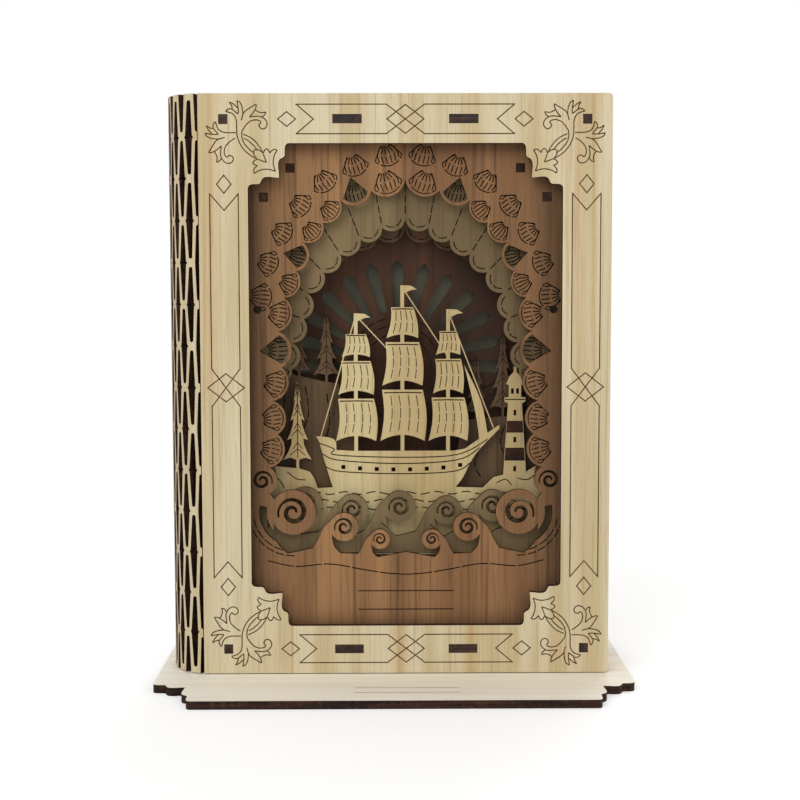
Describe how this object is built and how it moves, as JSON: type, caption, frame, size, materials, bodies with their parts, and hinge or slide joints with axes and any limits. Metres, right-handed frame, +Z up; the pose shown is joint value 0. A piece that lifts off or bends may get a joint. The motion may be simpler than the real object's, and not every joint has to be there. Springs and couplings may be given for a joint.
{
  "type": "folding book lamp",
  "caption": "Book-shaped lamp of laser-cut plywood on a base plate: a layered fretwork picture in the cover window, a living-hinge spine and an opening back cover.",
  "frame": {"origin": "middle of the base plate's underside", "axes": "+Z up, -Y the way the picture window faces, +X towards the book's fore-edge"},
  "size_m": [0.1728, 0.1108, 0.2133],
  "materials": {
    "basswood": "pale basswood plywood, plain sanded face, laser-browned edges",
    "walnut": "walnut-faced plywood, matt, with darker grain lines",
    "greige_stain": "plywood stained grey-beige, matt",
    "pale_basswood": "pale plywood, matt, laser-browned edges",
    "slate_stain": "plywood stained slate grey, matt",
    "dark_stain": "plywood stained dark brown, matt",
    "frosted_acrylic": "frosted acrylic light diffuser",
    "led_strip_white": "white flexible circuit strip with light chips",
    "black_plastic": "moulded black plastic, fine texture",
    "nickel_steel": "nickel-plated sheet steel",
    "cell_wrap": "plain coloured film over a metal can",
    "wire_sheath": "soft insulated wire"
  },
  "bodies": {
    "root": {"base_plate": "basswood", "battery_cell_lower": "cell_wrap", "battery_cell_upper": "cell_wrap", "battery_tray": "black_plastic", "board_magnet_lower": "nickel_steel", "board_magnet_upper": "nickel_steel", "bottom_wall": "basswood", "cloud_frame_sheet": "walnut", "compartment_shelf": "basswood", "contact_plate_left": "nickel_steel", "contact_plate_right": "nickel_steel", "diffuser_panel": "frosted_acrylic", "fore_edge_wall": "basswood", "front_cover": "basswood", "headland_sheet": "slate_stain", "hinge_side_wall": "basswood", "inner_cloud_sheet": "greige_stain", "led_strip_lower": "led_strip_white", "led_strip_upper": "led_strip_white", "mountain_sheet": "dark_stain", "peg_lower_left": "basswood", "peg_lower_right": "basswood", "peg_upper_left_inner": "basswood", "peg_upper_left_outer": "basswood", "peg_upper_right_inner": "basswood", "peg_upper_right_outer": "basswood", "rear_board": "basswood", "ship_sheet": "pale_basswood", "spine_hinge": "basswood", "switch_body": "nickel_steel", "top_wall": "basswood", "wire_strip_link": "wire_sheath", "wire_tray_to_strip": "wire_sheath"},
    "back_cover": {"back_cover": "basswood", "cover_magnet_lower": "nickel_steel", "cover_magnet_upper": "nickel_steel"},
    "battery_lid": {"battery_lid": "black_plastic"},
    "switch_knob": {"switch_knob": "black_plastic"}
  },
  "joints": [
    {"name": "back_cover_hinge", "type": "hinge", "parent": "root", "child": "back_cover", "pos_m": [-0.081, 0, 0.1083], "axis": [0, 0, 1], "range_deg": [0, 105], "deforming": ["spine_hinge"]},
    {"name": "battery_lid_slide", "type": "slide", "parent": "root", "child": "battery_lid", "axis": [1, 0, 0], "range_m": [0, 0.044]},
    {"name": "switch_knob_slide", "type": "slide", "parent": "root", "child": "switch_knob", "axis": [0, 0, 1], "range_m": [0, 0.003]}
  ]
}
